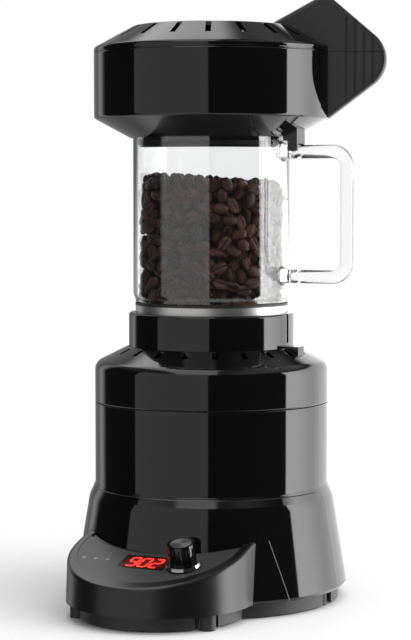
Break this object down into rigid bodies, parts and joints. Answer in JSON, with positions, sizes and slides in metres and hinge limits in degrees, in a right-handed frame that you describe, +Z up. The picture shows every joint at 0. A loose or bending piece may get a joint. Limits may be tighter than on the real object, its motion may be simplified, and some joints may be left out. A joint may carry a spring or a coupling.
{
  "type": "home coffee bean roaster",
  "caption": "Tall hot-air coffee bean roaster: round black base with a sloping front panel and knob, clear glass chamber with a glass handle, and a lift-off chaff collector.",
  "frame": {"origin": "on the vertical axis of the round body and glass chamber, at the level the feet stand on", "axes": "+Z up, the control panel faces -Y, the glass handle points to +X"},
  "size_m": [0.1963, 0.2275, 0.3845],
  "materials": {
    "gloss_black": "gloss moulded plastic",
    "satin_black": "satin moulded plastic",
    "matte_black": "fine-grained moulded plastic",
    "overlay_grey": "matte panel sheet",
    "display_lens": "smoked lens",
    "light_lens": "frosted lens",
    "board_green": "coated circuit board",
    "mica": "pressed mica sheet",
    "magnet_grey": "sintered",
    "steel": "zinc plated",
    "heater_wire": "oxidised resistance wire",
    "brass": "sintered bronze",
    "copper_winding": "lacquered copper on steel",
    "aluminium": "spun",
    "chrome": "bright",
    "brushed_ring": "brushed",
    "clear_glass": "clear",
    "black_silicone": "matte",
    "foot_rubber": "matte"
  },
  "bodies": {
    "base": {"lower_housing": "gloss_black", "console_housing": "gloss_black", "body_shell": "gloss_black", "top_housing": "gloss_black", "neck_collar": "gloss_black", "seat_gasket": "black_silicone", "bottom_cover": "matte_black", "base_legs": "matte_black", "rubber_feet": "foot_rubber", "cover_screws": "steel", "control_overlay": "overlay_grey", "display_window": "display_lens", "display_module": "matte_black", "indicator_lights": "light_lens", "control_board": "board_green", "encoder_body": "matte_black", "cord_gland": "foot_rubber", "motor_can": "steel", "motor_bearings": "brass", "motor_magnets": "magnet_grey", "motor_bracket": "matte_black", "frame_screws": "steel", "blower_inlet_plate": "matte_black", "blower_housing": "matte_black", "heater_tube": "steel", "mica_frame": "mica", "heating_coils": "heater_wire", "thermostat": "matte_black", "thermal_fuse": "steel", "temperature_probe": "steel", "board_rails": "matte_black", "power_board": "board_green", "transformer": "matte_black", "heat_sink": "aluminium"},
    "blower_rotor": {"motor_shaft": "steel", "armature": "copper_winding", "impeller": "matte_black"},
    "select_plunger": {"select_plunger": "matte_black"},
    "control_knob": {"knob_stem": "steel", "knob_grip": "gloss_black", "knob_skirt": "chrome", "knob_disc": "aluminium"},
    "roast_chamber": {"chamber_glass": "clear_glass", "chamber_handle": "clear_glass", "chamber_ring": "brushed_ring", "ring_gasket": "black_silicone", "air_plate": "brushed_ring", "locating_pin": "steel"},
    "collector_bowl": {"collector_bowl": "gloss_black", "bowl_handle": "gloss_black", "bowl_gasket": "black_silicone", "chimney": "steel", "deflector": "steel", "locating_clip": "gloss_black", "bowl_handle_screws": "steel"},
    "collector_lid": {"collector_lid": "satin_black", "lid_handle": "gloss_black", "chaff_screen": "steel", "screen_ring": "matte_black", "lid_handle_screws": "steel"}
  },
  "joints": [
    {"name": "blower_spin", "type": "hinge", "parent": "base", "child": "blower_rotor", "pos_m": [0, 0, 0.036], "axis": [0, 0, 1], "continuous": true},
    {"name": "select_press", "type": "slide", "parent": "base", "child": "select_plunger", "axis": [0, 0.2756, -0.9613], "range_m": [0, 0.0005], "stiffness_N_per_m": 1200},
    {"name": "knob_turn", "type": "hinge", "parent": "select_plunger", "child": "control_knob", "pos_m": [0.027, -0.0975, 0.03711], "axis": [0, -0.2756, 0.9613], "continuous": true},
    {"name": "chamber_lift", "type": "slide", "parent": "base", "child": "roast_chamber", "axis": [0, 0, 1], "range_m": [0, 0.08]},
    {"name": "collector_lift", "type": "slide", "parent": "roast_chamber", "child": "collector_bowl", "axis": [0, 0, 1], "range_m": [0, 0.05]},
    {"name": "lid_lift", "type": "slide", "parent": "collector_bowl", "child": "collector_lid", "axis": [0, 0, 1], "range_m": [0, 0.04]}
  ]
}
